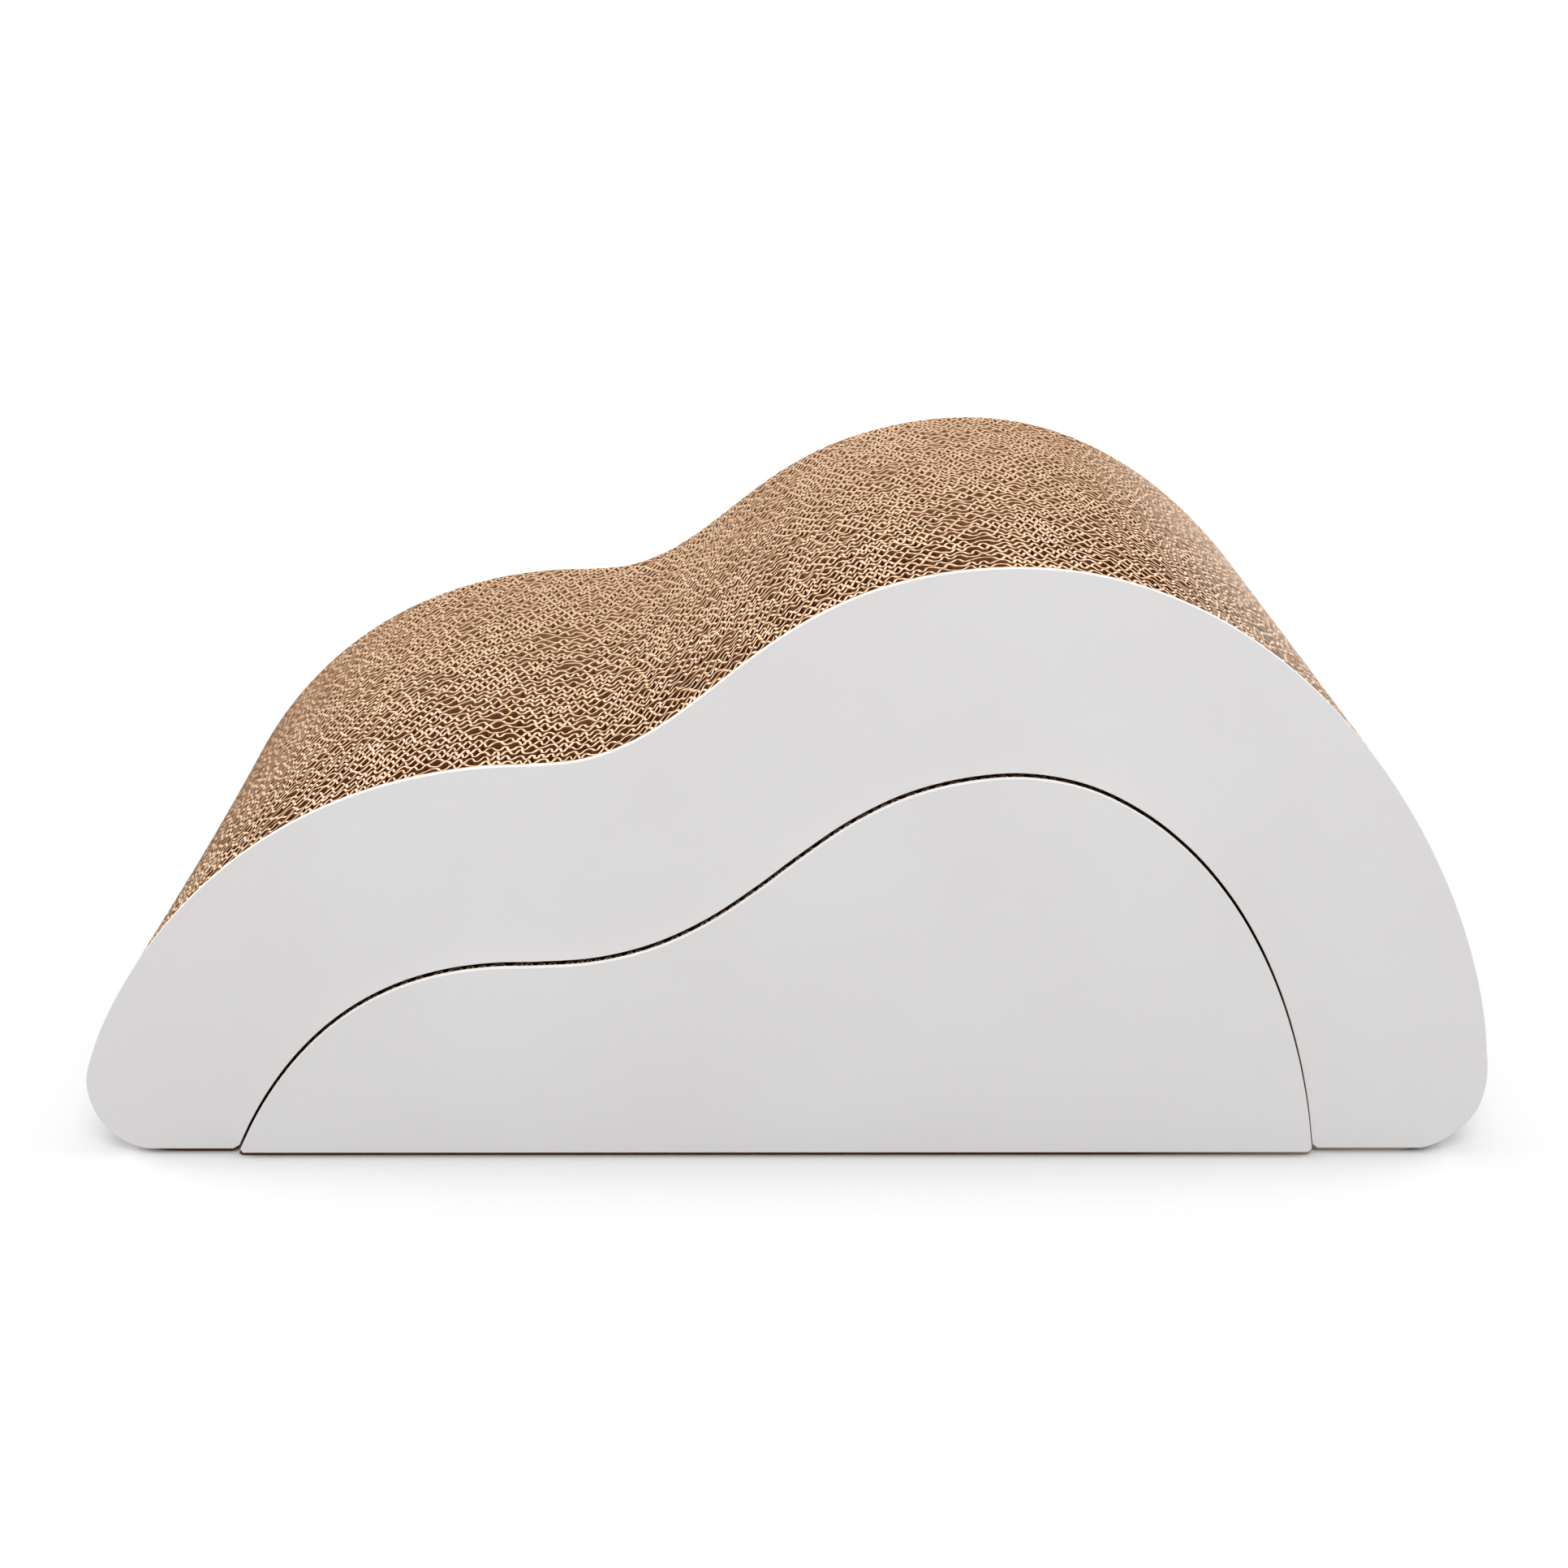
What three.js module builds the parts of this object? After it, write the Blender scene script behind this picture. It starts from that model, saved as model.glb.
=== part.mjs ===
import * as THREE from 'three';
import { mergeVertices } from 'three/addons/utils/BufferGeometryUtils.js';

// A cat scratcher in two nested parts: an arch with a wave-shaped top, and a bump of the same
// shape that fills the arch's tunnel and slides out of it along Y. Each part is a stack of
// corrugated boards between two smooth cover panels, glued face to face.
// Millimetres. +X runs along the length, with the crest on the right, -Y is the front and +Z is
// up. The origin is the middle of the face that the scratcher stands on.

// The stack, counted from the front
const boardCount = 28;
const boardThickness = 8.5;
const glueFilm = 0.1;
const panelThickness = 3;
const panelLift = 2.2;

// The arch's wave, seen from the front
const archLength = 500;
const crestHeight = 219.5;
const crestFromMiddle = 76;
const shoulderHeight = 151;
const shoulderFromMiddle = -85;
const leftToeHeight = 29;
const leftToeTuck = 32;
const rightToeHeight = 26;
const rightToeTuck = 30;

// The tunnel through the arch
const shoulderWall = 74;
const crestWall = 72.2;
const leftLegAtFloor = 50.5;
const rightLegAtFloor = 59;
const tunnelShoulderFromMiddle = -87;
const tunnelCrestFromMiddle = 80;
const leftFlankLean = 24.3;
const rightFlankLean = 8.6;

// The bump in the tunnel
const nestClearance = 0.9;
const bumpProud = 3;
const cutCorner = 1.6;

// How full each stretch of a curve is, as the reach of its handles over its own span
const leftToeFullness = 0.64;
const rightToeFullness = 0.51;
const leftFlankFullness = [0.105, 0.73];
const waveFullness = [0.37, 0.565];
const rightFlankFullness = [0.62, 0.325];
const tunnelLeftFullness = [1.0, 0.22];
const tunnelWaveFullness = [0.49, 0.476];
const tunnelRightFullness = [0.285, 0.783];

// Straight pieces that each stretch of a curve is drawn with
const toeSteps = 5;
const flankSteps = 14;
const waveSteps = 11;
const tunnelSteps = 9;

const stackDepth = 2 * panelThickness + boardCount * boardThickness + (boardCount + 1) * glueFilm;
const overallDepth = stackDepth + bumpProud;
const halfLength = archLength / 2;

const kraft = { color: 0xb98f66, roughness: 0.95, metalness: 0 };
const whiteboard = { color: 0xe4e1de, roughness: 0.6, metalness: 0 };

/** Evenly spaced points of one curve, its handles given as offsets from its own ends. */
function curvePoints(start, startHandle, end, endHandle, steps) {
  const curve = new THREE.CubicBezierCurve(
    start,
    start.clone().add(startHandle),
    end.clone().add(endHandle),
    end,
  );
  return curve.getSpacedPoints(steps);
}

/** Joins stretches that each begin where the one before ends. */
function join(...stretches) {
  return stretches.flatMap((points, index) => (index === 0 ? points : points.slice(1)));
}

/** The arch's outside, from its left toe on the floor over the crest to its right toe. */
function archOutside() {
  const footLeft = new THREE.Vector2(-halfLength + leftToeTuck, 0);
  const toeLeft = new THREE.Vector2(-halfLength, leftToeHeight);
  const shoulder = new THREE.Vector2(shoulderFromMiddle, shoulderHeight);
  const crest = new THREE.Vector2(crestFromMiddle, crestHeight);
  const toeRight = new THREE.Vector2(halfLength, rightToeHeight);
  const footRight = new THREE.Vector2(halfLength - rightToeTuck, 0);
  const leftToe = curvePoints(
    footLeft,
    new THREE.Vector2(-leftToeFullness * leftToeTuck, 0),
    toeLeft,
    new THREE.Vector2(0, -leftToeFullness * leftToeHeight),
    toeSteps,
  );
  const leftFlank = curvePoints(
    toeLeft,
    new THREE.Vector2(0, leftFlankFullness[0] * (shoulder.y - toeLeft.y)),
    shoulder,
    new THREE.Vector2(-leftFlankFullness[1] * (shoulder.x - toeLeft.x), 0),
    flankSteps,
  );
  const wave = curvePoints(
    shoulder,
    new THREE.Vector2(waveFullness[0] * (crest.x - shoulder.x), 0),
    crest,
    new THREE.Vector2(-waveFullness[1] * (crest.x - shoulder.x), 0),
    waveSteps,
  );
  const rightFlank = curvePoints(
    crest,
    new THREE.Vector2(rightFlankFullness[0] * (toeRight.x - crest.x), 0),
    toeRight,
    new THREE.Vector2(0, rightFlankFullness[1] * (crest.y - toeRight.y)),
    flankSteps,
  );
  const rightToe = curvePoints(
    toeRight,
    new THREE.Vector2(0, -rightToeFullness * rightToeHeight),
    footRight,
    new THREE.Vector2(rightToeFullness * rightToeTuck, 0),
    toeSteps,
  );
  return join(leftToe, leftFlank, wave, rightFlank, rightToe);
}

/** The tunnel's wall, from the floor on the left over its crest to the floor on the right. */
function tunnelWall() {
  const footLeft = new THREE.Vector2(-halfLength + leftLegAtFloor, 0);
  const shoulder = new THREE.Vector2(tunnelShoulderFromMiddle, shoulderHeight - shoulderWall);
  const crest = new THREE.Vector2(tunnelCrestFromMiddle, crestHeight - crestWall);
  const footRight = new THREE.Vector2(halfLength - rightLegAtFloor, 0);
  const leftReach = tunnelLeftFullness[0] * shoulder.y;
  const rightReach = tunnelRightFullness[1] * crest.y;
  const leftFlank = curvePoints(
    footLeft,
    new THREE.Vector2(leftReach * Math.tan(THREE.MathUtils.degToRad(leftFlankLean)), leftReach),
    shoulder,
    new THREE.Vector2(-tunnelLeftFullness[1] * (shoulder.x - footLeft.x), 0),
    tunnelSteps,
  );
  const wave = curvePoints(
    shoulder,
    new THREE.Vector2(tunnelWaveFullness[0] * (crest.x - shoulder.x), 0),
    crest,
    new THREE.Vector2(-tunnelWaveFullness[1] * (crest.x - shoulder.x), 0),
    tunnelSteps,
  );
  const rightFlank = curvePoints(
    crest,
    new THREE.Vector2(tunnelRightFullness[0] * (footRight.x - crest.x), 0),
    footRight,
    new THREE.Vector2(-rightReach * Math.tan(THREE.MathUtils.degToRad(rightFlankLean)), rightReach),
    tunnelSteps,
  );
  return join(leftFlank, wave, rightFlank);
}

/** The same open line, moved to its right-hand side by a distance, with its ends on the floor. */
function inset(line, distance) {
  const moved = line.map((point, index) => {
    const before = line[Math.max(index - 1, 0)];
    const after = line[Math.min(index + 1, line.length - 1)];
    const along = after.clone().sub(before).normalize();
    return new THREE.Vector2(point.x + along.y * distance, point.y - along.x * distance);
  });
  return cutAt(moved, 0);
}

/** The part above a level of a line that starts on the floor at the left and ends on it. */
function cutAt(line, level) {
  const first = line.findIndex((point) => point.y > level);
  const last = line.findLastIndex((point) => point.y > level);
  const crossing = (low, high) => low.clone().lerp(high, (level - low.y) / (high.y - low.y));
  const start = crossing(line[first - 1], line[first]);
  const end = crossing(line[last + 1], line[last]);
  return [start, ...line.slice(first, last + 1), end];
}

/** A closed outline with chosen corners cut off, by the same length along both sides. */
function withCutCorners(outline, corners) {
  return outline.flatMap((point, index) => {
    if (!corners.includes(index)) {
      return [point];
    }
    const before = outline[(index + outline.length - 1) % outline.length];
    const after = outline[(index + 1) % outline.length];
    const towards = (other) => other.clone().sub(point).normalize().multiplyScalar(cutCorner).add(point);
    return [towards(before), towards(after)];
  });
}

/** The arch's outline, standing on a level: over the outside, then back through the tunnel. */
function archOutline(level) {
  const outside = cutAt(archOutside(), level);
  const tunnel = cutAt(tunnelWall(), level).reverse();
  const innerHeels = [outside.length, outside.length + tunnel.length - 1];
  return withCutCorners([...outside, ...tunnel], innerHeels);
}

/** The bump's outline, standing on a level: the tunnel's wall less the clearance. */
function bumpOutline(level) {
  const top = cutAt(inset(tunnelWall(), nestClearance), level);
  return withCutCorners(top, [0, top.length - 1]);
}

/** A board of one outline, standing on edge, its front face at y and its back at y + depth. */
function board(name, outline, y, depth, finish) {
  const extruded = new THREE.ExtrudeGeometry(new THREE.Shape(outline), {
    depth,
    steps: 1,
    bevelEnabled: false,
  });
  extruded.deleteAttribute('normal');
  extruded.deleteAttribute('uv');
  const geometry = mergeVertices(extruded);
  geometry.rotateX(Math.PI / 2);
  geometry.translate(0, depth, 0);
  geometry.computeVertexNormals();
  const mesh = new THREE.Mesh(geometry, new THREE.MeshStandardMaterial(finish));
  mesh.name = name;
  mesh.position.y = y;
  return mesh;
}

/** One glued stack: front panel, boards and back panel, from its front face backwards. */
function stack(name, outlineAt, front) {
  const group = new THREE.Group();
  const core = outlineAt(0);
  const cover = outlineAt(panelLift);
  group.add(board(`${name}_front_panel`, cover, front, panelThickness, whiteboard));
  const pitch = boardThickness + glueFilm;
  const coreFront = front + panelThickness + glueFilm;
  for (let i = 0; i < boardCount; i += 1) {
    const label = String(i + 1).padStart(2, '0');
    group.add(board(`${name}_layer_${label}`, core, coreFront + i * pitch, boardThickness, kraft));
  }
  const backFace = coreFront + boardCount * pitch;
  group.add(board(`${name}_back_panel`, cover, backFace, panelThickness, whiteboard));
  return group;
}

const scratcher = new THREE.Group();
scratcher.add(stack('outer', archOutline, -overallDepth / 2 + bumpProud));
scratcher.add(stack('inner', bumpOutline, -overallDepth / 2));

export default scratcher;
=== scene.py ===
"""The looks of a nested cardboard cat scratcher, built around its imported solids.

Metres, in the frame of the solids: +X along the length, -Y the front face, +Z up. The wave
outlines are read from the solids, and every other size is a field of the class that uses it.
"""

import logging
import math
from dataclasses import dataclass, field
from enum import Enum
from functools import reduce

import bpy
import numpy as np
from mathutils import Matrix, Vector


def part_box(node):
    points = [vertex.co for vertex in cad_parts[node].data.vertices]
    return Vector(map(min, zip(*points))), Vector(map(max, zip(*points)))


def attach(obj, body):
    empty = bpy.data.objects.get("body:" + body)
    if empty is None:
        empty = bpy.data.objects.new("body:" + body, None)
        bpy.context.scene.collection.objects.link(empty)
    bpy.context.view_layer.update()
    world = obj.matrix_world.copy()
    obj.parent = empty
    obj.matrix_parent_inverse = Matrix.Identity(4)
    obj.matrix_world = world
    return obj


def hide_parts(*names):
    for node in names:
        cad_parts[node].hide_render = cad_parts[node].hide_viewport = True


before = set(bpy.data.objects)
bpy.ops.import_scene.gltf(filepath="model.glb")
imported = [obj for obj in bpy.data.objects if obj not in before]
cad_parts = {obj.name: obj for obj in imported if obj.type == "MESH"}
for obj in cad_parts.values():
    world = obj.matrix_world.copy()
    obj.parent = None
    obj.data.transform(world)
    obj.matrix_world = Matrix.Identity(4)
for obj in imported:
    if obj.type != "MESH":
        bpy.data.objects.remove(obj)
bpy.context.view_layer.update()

LOG = logging.getLogger("scratcher")
PHOTO_SIDE_PX = 1932
SENSOR_MM = 36.0
TOUCH = 2e-5
TINY = 1e-12
COVER_THICKNESS = 0.0021
WHITE = (1.0, 1.0, 1.0, 1.0)

Socket = bpy.types.NodeSocket
Value = Socket | float
Pair = tuple[float, float]
Triple = tuple[float, float, float]


class Part(Enum):
    """The two nested parts: the prefix of its solids, its body, and the name of its pieces."""

    ARCH = ("outer", "outer_arch", "arch")
    BUMP = ("inner", "inner_bump", "bump")

    @property
    def solids(self) -> str:
        """The prefix of the part's solids."""
        return self.value[0]

    @property
    def body(self) -> str:
        """The body that the part's pieces ride on."""
        return self.value[1]

    @property
    def label(self) -> str:
        """The prefix of the part's pieces."""
        return self.value[2]


class Side(Enum):
    """The two sides of a part that have a cover."""

    FRONT = "front"
    BACK = "back"


class Slot(Enum):
    """The record's material slots."""

    BOARD = "kraft_board"
    COVER = "white_cover"


class Nodes:
    """Short calls for the nodes of one tree."""

    def __init__(self, tree: bpy.types.NodeTree) -> None:
        """Keeps the tree that the nodes go into."""
        self.tree = tree

    def node(self, kind: str, *values: object, **settings: object) -> bpy.types.Node:
        """Adds a node.

        Args:
            kind: The node's type.
            values: Sockets or plain values for its inputs, in their order.
            settings: Values for the node's own attributes.

        Returns:
            The new node.
        """
        made = self.tree.nodes.new(kind)
        for key, value in settings.items():
            setattr(made, key, value)
        for target, value in zip(made.inputs, values):
            self.feed(target, value)
        return made

    def feed(self, target: Socket, value: object) -> None:
        """Links a socket to an input, or sets the input to a plain value.

        Args:
            target: The input.
            value: The socket, or the plain value.
        """
        if isinstance(value, Socket):
            self.tree.links.new(value, target)
        else:
            target.default_value = value

    def math(self, operation: str, *values: Value) -> Socket:
        """The result of one step of arithmetic."""
        return self.node("ShaderNodeMath", *values, operation=operation).outputs[0]


@dataclass(frozen=True)
class Grain:
    """A noise pattern: its frequency per metre, and how many finer octaves it has."""

    per_metre: float
    octaves: float


@dataclass(frozen=True)
class Feel:
    """A paper's surface: its relief's depth and how much of it shows, its roughness, its gloss."""

    depth: float
    strength: float
    roughness: Pair
    specular: float


class Shader(Nodes):
    """A material's node tree, with short calls for what the finishes share."""

    def __init__(self, name: str) -> None:
        """Starts an empty material.

        Args:
            name: The material's name.
        """
        self.material = bpy.data.materials.new(name)
        self.material.use_nodes = True
        super().__init__(self.material.node_tree)
        self.tree.nodes.clear()
        self.output = self.node("ShaderNodeOutputMaterial")

    def place(self, scale: Triple = (1.0, 1.0, 1.0)) -> Socket:
        """Object coordinates, stretched.

        Args:
            scale: The factor along each axis.

        Returns:
            The vector socket.
        """
        made = self.node("ShaderNodeMapping", self.node("ShaderNodeTexCoord").outputs["Object"])
        made.inputs["Scale"].default_value = scale
        return made.outputs["Vector"]

    def noise(self, vector: Socket, grain: Grain) -> Socket:
        """A noise pattern.

        Args:
            vector: Where the pattern is read.
            grain: Its frequency and its octaves.

        Returns:
            The value socket, from 0 to 1.
        """
        made = self.node("ShaderNodeTexNoise", vector)
        made.inputs["Scale"].default_value = grain.per_metre
        made.inputs["Detail"].default_value = grain.octaves
        return made.outputs[0]

    def attribute(self, name: str) -> Socket:
        """The value of a mesh attribute."""
        return self.node("ShaderNodeAttribute", attribute_name=name).outputs["Fac"]

    def vectors(self, operation: str, *values: object) -> bpy.types.NodeOutputs:
        """The results of one step of arithmetic with vectors."""
        return self.node("ShaderNodeVectorMath", *values, operation=operation).outputs

    def stretch(self, value: Socket, source: Pair, target: Pair = (0.0, 1.0)) -> Socket:
        """One range of a value mapped onto another, and clamped."""
        return self.node("ShaderNodeMapRange", value, *source, *target).outputs["Result"]

    def blend(self, amount: Socket, low: Socket | Triple, high: Socket | Triple) -> Socket:
        """Mixes two colours, each given as a socket or as a plain colour.

        Args:
            amount: The share of the second colour.
            low: The first colour.
            high: The second colour.

        Returns:
            The mixed colour's socket.
        """
        made = self.node("ShaderNodeMix", amount, data_type="RGBA")
        # The colour sockets come after those that mix numbers and vectors.
        for target, colour in zip(made.inputs[6:8], (low, high)):
            self.feed(target, (*colour, 1.0) if isinstance(colour, tuple) else colour)
        return made.outputs[2]

    def finished(self, colour: Socket, relief: Socket, feel: Feel) -> bpy.types.Material:
        """Finishes the material as a paper with a fine relief.

        Args:
            colour: Its colour.
            relief: The height of its relief, from 0 to 1.
            feel: How its surface feels.

        Returns:
            The finished material.
        """
        bump = self.node("ShaderNodeBump")
        bump.inputs["Distance"].default_value = feel.depth
        bump.inputs["Strength"].default_value = feel.strength
        self.feed(bump.inputs["Height"], relief)
        surface = self.node("ShaderNodeBsdfPrincipled")
        rough = self.stretch(relief, (0.0, 1.0), feel.roughness)
        self.feed(surface.inputs["Base Color"], colour)
        self.feed(surface.inputs["Normal"], bump.outputs["Normal"])
        self.feed(surface.inputs["Roughness"], rough)
        self.feed(surface.inputs["Specular IOR Level"], feel.specular)
        self.feed(self.output.inputs["Surface"], surface.outputs[0])
        return self.material


class Fields(Nodes):
    """Short calls for the fields of a geometry node tree, with the tree's own inputs."""

    def __init__(self, tree: bpy.types.NodeTree) -> None:
        """Keeps the tree, the sockets of its inputs and each paper's number in the stack.

        Args:
            tree: The geometry node tree, with its sockets.
        """
        super().__init__(tree)
        self.given = self.node("NodeGroupInput").outputs
        self.sheet = self.attribute("sheet")

    def total(self, *values: Value) -> Socket:
        """The sum of several values."""
        return reduce(lambda first, second: self.math("ADD", first, second), values)

    def product(self, *values: Value) -> Socket:
        """The product of several values."""
        return reduce(lambda first, second: self.math("MULTIPLY", first, second), values)

    def within(self, value: Value, low: Value, high: Value) -> Socket:
        """The value, kept between a lowest and a highest one."""
        return self.math("MINIMUM", self.math("MAXIMUM", value, low), high)

    def vector(self, *values: Value) -> Socket:
        """A vector from its three values."""
        return self.node("ShaderNodeCombineXYZ", *values).outputs[0]

    def bell(self, value: Socket, centre: float, reach: float) -> Socket:
        """A smooth hump of height 1 round a value."""
        off = self.math("DIVIDE", self.math("SUBTRACT", value, centre), reach)
        return self.math("EXPONENT", self.product(off, off, -1.0))

    def attribute(self, name: str) -> Socket:
        """A named attribute of the geometry."""
        made = self.node("GeometryNodeInputNamedAttribute", name, data_type="FLOAT")
        return made.outputs["Attribute"]

    def place(self) -> list[Socket]:
        """The x, y and z of a point."""
        position = self.node("GeometryNodeInputPosition").outputs[0]
        return list(self.node("ShaderNodeSeparateXYZ", position).outputs)

    def wander(self, place: Socket, seed: Value) -> Socket:
        """Smooth noise between about -1 and 1.

        Args:
            place: Where it is read.
            seed: The noise's fourth coordinate.

        Returns:
            The noise's socket.
        """
        made = self.node("ShaderNodeTexNoise", place, seed, noise_dimensions="4D")
        made.inputs["Scale"].default_value = 1.0
        made.inputs["Detail"].default_value = 1.0
        # Nearly all of the noise is between a quarter and three quarters.
        return self.math("MULTIPLY_ADD", made.outputs[0], 4.0, -2.0)

    def moved(self, shape: Socket, *place: Value) -> Socket:
        """Moves a geometry's points.

        Args:
            shape: The geometry.
            place: The points' new x, y and z.

        Returns:
            The moved geometry.
        """
        made = self.node("GeometryNodeSetPosition", shape)
        self.feed(made.inputs["Position"], self.vector(*place))
        return made.outputs[0]


@dataclass(frozen=True)
class KraftPaper:
    """Brown kraft paper: walls painted dark below their lip, a painted shade inside the flutes,
    and a paler, fibrous cut edge.

    The cut edges get duller and the painted shade on the walls lighter towards the back and in
    random patches, and both are painted pale on the right flank, a painted highlight of the light
    from that side.
    """

    # The walls go from the brim colour at the lip to a dark brown below it: painted shade inside
    # the flutes.
    cell_shade: Triple = (0.12, 0.045, 0.016)
    # The painted cell shade, lighter, for the back.
    cell_shade_back: Triple = (0.34, 0.19, 0.105)
    brim: Triple = (0.6, 0.365, 0.21)
    brim_lip: Pair = (0.9, 1.0)
    cut_dark: Triple = (0.59, 0.385, 0.24)
    cut_pale: Triple = (0.75, 0.55, 0.39)
    # The cut edge, duller, for the back.
    cut_back_dull: Triple = (0.475, 0.328, 0.218)
    flecks: Grain = Grain(520.0, 2.0)
    fleck_range: Pair = (0.35, 0.65)
    # The painted shade in the cells is lighter, and the cut edges duller, towards the back and in
    # random blotches.
    back_fade_y: Pair = (-0.11, 0.075)
    back_fade_most: float = 0.85
    blotches: Grain = Grain(38.0, 2.0)
    blotch_range: Pair = (0.35, 0.7)
    blotch_shift: Pair = (-0.1, 0.15)
    # A painted highlight: the cut edges and walls turn pale on the right flank, for the light from
    # that side.
    side_light_pale: Triple = (0.78, 0.655, 0.555)
    side_light_x: Pair = (0.125, 0.225)
    side_light_most: float = 0.78
    fibres: Grain = Grain(900.0, 3.0)
    fibre_stretch: float = 0.16
    feel: Feel = Feel(0.00012, 0.6, (0.8, 0.98), 0.02)

    def material(self) -> bpy.types.Material:
        """Builds the material.

        Returns:
            The finished material.
        """
        shader = Shader("kraft_paper")
        place = shader.place()
        fibres = shader.noise(shader.place((1.0, 1.0, self.fibre_stretch)), self.fibres)
        blotches = shader.noise(place, self.blotches)
        x, y, _ = shader.node("ShaderNodeSeparateXYZ", place).outputs
        # The painted cell shade is lighter, and the cut edges duller, towards the back and in
        # random patches.
        back = shader.stretch(y, self.back_fade_y, (0.0, self.back_fade_most))
        patches = shader.stretch(blotches, self.blotch_range, self.blotch_shift)
        back_fade_and_patches = shader.math("ADD", back, patches)
        # The walls are painted dark below their lip: painted shade inside the flutes.
        cell_shade = shader.blend(back_fade_and_patches, self.cell_shade, self.cell_shade_back)
        brim = shader.stretch(shader.attribute("lip"), self.brim_lip)
        walls = shader.blend(brim, cell_shade, self.brim)
        flecks = shader.stretch(shader.noise(place, self.flecks), self.fleck_range)
        cuts = shader.blend(flecks, self.cut_dark, self.cut_pale)
        dulled = shader.blend(back_fade_and_patches, cuts, self.cut_back_dull)
        clean = shader.blend(shader.attribute("cut_edge"), walls, dulled)
        # The right flank is painted pale: a painted highlight of the light from that side.
        right = shader.stretch(x, self.side_light_x, (0.0, self.side_light_most))
        return shader.finished(shader.blend(right, clean, self.side_light_pale), fibres, self.feel)


@dataclass(frozen=True)
class CoverPaper:
    """The covers' smooth white paper, very faintly mottled, its cut edge painted a shade duller:
    painted shade against the light that it catches facing up.
    """

    face_dark: Triple = (0.703, 0.691, 0.688)
    face_pale: Triple = (0.727, 0.716, 0.714)
    # The cut edge is painted a shade darker than the face: painted shade against the light it
    # catches facing up.
    edge: Triple = (0.68, 0.67, 0.66)
    mottle: Grain = Grain(14.0, 3.0)
    mottle_range: Pair = (0.3, 0.7)
    grain: Grain = Grain(1400.0, 2.0)
    feel: Feel = Feel(0.00004, 0.35, (0.49, 0.61), 0.3)

    def material(self) -> bpy.types.Material:
        """Builds the material.

        Returns:
            The finished material.
        """
        shader = Shader("white_cover_paper")
        place = shader.place()
        mottle = shader.stretch(shader.noise(place, self.mottle), self.mottle_range)
        face = shader.blend(mottle, self.face_dark, self.face_pale)
        # The cut edge gets its painted shade, darker than the face.
        colour = shader.blend(shader.attribute("cut_edge"), face, self.edge)
        return shader.finished(colour, shader.noise(place, self.grain), self.feel)


def unit(rows: np.ndarray) -> np.ndarray:
    """Each row, scaled to a length of 1."""
    return rows / np.maximum(np.linalg.norm(rows, axis=1), TINY)[:, None]


def turns(way: np.ndarray) -> np.ndarray:
    """The turn at each point of a closed line, from the directions that leave its points."""
    return np.arccos(np.clip((np.roll(way, 1, axis=0) * way).sum(axis=1), -1.0, 1.0))


def bell(value: np.ndarray, centre: float, reach: float) -> np.ndarray:
    """A smooth hump of height 1 round a value."""
    return np.exp(-(((value - centre) / reach) ** 2))


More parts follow.
